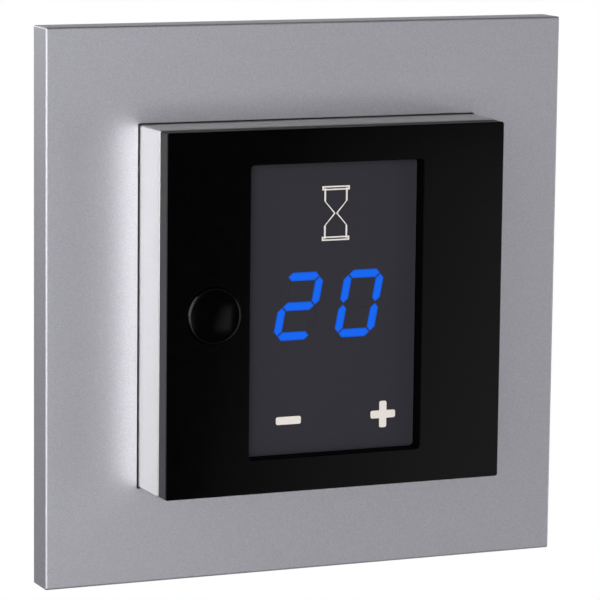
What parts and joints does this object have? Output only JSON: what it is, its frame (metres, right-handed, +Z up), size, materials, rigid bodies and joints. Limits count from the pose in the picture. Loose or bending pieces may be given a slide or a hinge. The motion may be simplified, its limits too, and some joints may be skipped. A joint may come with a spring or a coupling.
{
  "type": "timer light switch",
  "caption": "Flush wall timer switch: silver square frame, raised block with black gloss front, round push button and lit touch display, power unit behind.",
  "frame": {"origin": "middle of the wall plane, centred between the wall box screws", "axes": "+X to the right, +Y into the wall, +Z up; the front faces -Y"},
  "size_m": [0.0848, 0.0474, 0.0848],
  "materials": {
    "silver_paint": "satin silver metallic paint on moulded plastic",
    "silver_skirt": "satin silver metallic paint on moulded plastic",
    "black_gloss": "polished black moulding",
    "panel_grey": "fine matt dark grey film",
    "lit_blue": "lit blue light pipe",
    "unlit_grey": "dark light pipe behind the matt film",
    "print_white": "warm white print",
    "spring_steel": "bright spring steel",
    "zinc_steel": "zinc plated sheet steel",
    "screw_steel": "zinc plated screw",
    "switch_cream": "moulded nylon",
    "inner_black": "black moulded plastic",
    "board_green": "glass fibre circuit board, green lacquer",
    "reflector_white": "white moulded reflector",
    "led_yellow": "small light emitting diode",
    "foam_black": "conductive foam",
    "chip_black": "moulded chip and connector plastic",
    "housing_grey": "light grey moulded plastic, fine spark texture",
    "guide_grey": "mid grey moulded plastic",
    "bar_brass": "drawn brass",
    "relay_blue": "blue moulded relay case",
    "relay_iron": "plated soft iron",
    "bobbin_white": "moulded bobbin",
    "copper_wire": "enamelled copper wire, wound",
    "ferrite_black": "sintered ferrite",
    "tape_yellow": "yellow tape and case",
    "can_blue": "shrink sleeve on an aluminium can",
    "varistor_blue": "dipped ceramic disc",
    "fuse_glass": "ceramic tube with end caps"
  },
  "bodies": {
    "base": {"cover_frame": "silver_paint", "frame_clips": "spring_steel", "mounting_plate": "zinc_steel", "block_skirt": "silver_skirt", "front_plate": "black_gloss", "display_panel": "panel_grey", "lit_segments": "lit_blue", "unlit_segments": "unlit_grey", "hourglass_mark": "print_white", "touch_marks": "print_white", "switch_body": "inner_black", "switch_dome": "spring_steel", "display_board": "board_green", "digit_reflector": "reflector_white", "digit_leds": "led_yellow", "touch_pads": "foam_black", "display_chips": "chip_black", "pin_header": "chip_black", "header_socket": "chip_black", "board_screws": "screw_steel", "carrier": "inner_black", "carrier_screws": "screw_steel", "rear_housing": "housing_grey", "power_board": "board_green", "power_board_screws": "screw_steel", "wire_guides": "guide_grey", "terminal_bars": "bar_brass", "relay_base": "relay_blue", "relay_cover": "relay_blue", "relay_yoke": "relay_iron", "relay_core": "relay_iron", "relay_bobbin": "bobbin_white", "relay_winding": "copper_wire", "relay_contacts": "bar_brass", "transformer_core": "ferrite_black", "transformer_winding": "tape_yellow", "film_capacitor": "tape_yellow", "storage_capacitor": "can_blue", "varistor": "varistor_blue", "fuse": "fuse_glass"},
    "button": {"push_button": "black_gloss"},
    "plunger": {"switch_plunger": "switch_cream"},
    "armature": {"relay_armature": "relay_iron", "relay_blade": "bar_brass"},
    "screw_1": {"terminal_screw_1": "screw_steel"},
    "cage_1": {"terminal_cage_1": "zinc_steel"},
    "screw_2": {"terminal_screw_2": "screw_steel"},
    "cage_2": {"terminal_cage_2": "zinc_steel"},
    "screw_3": {"terminal_screw_3": "screw_steel"},
    "cage_3": {"terminal_cage_3": "zinc_steel"},
    "screw_4": {"terminal_screw_4": "screw_steel"},
    "cage_4": {"terminal_cage_4": "zinc_steel"}
  },
  "joints": [
    {"name": "button_press", "type": "slide", "parent": "base", "child": "button", "axis": [0, 1, 0], "range_m": [0, 0.0005], "stiffness_N_per_m": 2000},
    {"name": "plunger_press", "type": "slide", "parent": "base", "child": "plunger", "axis": [0, 1, 0], "range_m": [0, 0.0005]},
    {"name": "armature_tilt", "type": "hinge", "parent": "base", "child": "armature", "pos_m": [0.0018, 0.01665, 0.0077], "axis": [0, 0, 1], "range_deg": [0, 4.5], "stiffness_Nm_per_rad": 0.02},
    {"name": "cage_1_rise", "type": "slide", "parent": "base", "child": "cage_1", "axis": [0, 1, 0], "range_m": [0, 0.003]},
    {"name": "screw_1_turn", "type": "hinge", "parent": "base", "child": "screw_1", "pos_m": [-0.012, 0.0264, -0.0174], "axis": [0, -1, 0], "range_deg": [0, 2160]},
    {"name": "cage_2_rise", "type": "slide", "parent": "base", "child": "cage_2", "axis": [0, 1, 0], "range_m": [0, 0.003]},
    {"name": "screw_2_turn", "type": "hinge", "parent": "base", "child": "screw_2", "pos_m": [-0.004, 0.0264, -0.0174], "axis": [0, -1, 0], "range_deg": [0, 2160]},
    {"name": "cage_3_rise", "type": "slide", "parent": "base", "child": "cage_3", "axis": [0, 1, 0], "range_m": [0, 0.003]},
    {"name": "screw_3_turn", "type": "hinge", "parent": "base", "child": "screw_3", "pos_m": [0.004, 0.0264, -0.0174], "axis": [0, -1, 0], "range_deg": [0, 2160]},
    {"name": "cage_4_rise", "type": "slide", "parent": "base", "child": "cage_4", "axis": [0, 1, 0], "range_m": [0, 0.003]},
    {"name": "screw_4_turn", "type": "hinge", "parent": "base", "child": "screw_4", "pos_m": [0.012, 0.0264, -0.0174], "axis": [0, -1, 0], "range_deg": [0, 2160]}
  ],
  "couplings": [
    {"joint": "plunger_press", "follows": "button_press", "ratio": 1},
    {"joint": "screw_1_turn", "follows": "cage_1_rise", "rad_per_m": 12566},
    {"joint": "screw_2_turn", "follows": "cage_2_rise", "rad_per_m": 12566},
    {"joint": "screw_3_turn", "follows": "cage_3_rise", "rad_per_m": 12566},
    {"joint": "screw_4_turn", "follows": "cage_4_rise", "rad_per_m": 12566}
  ]
}
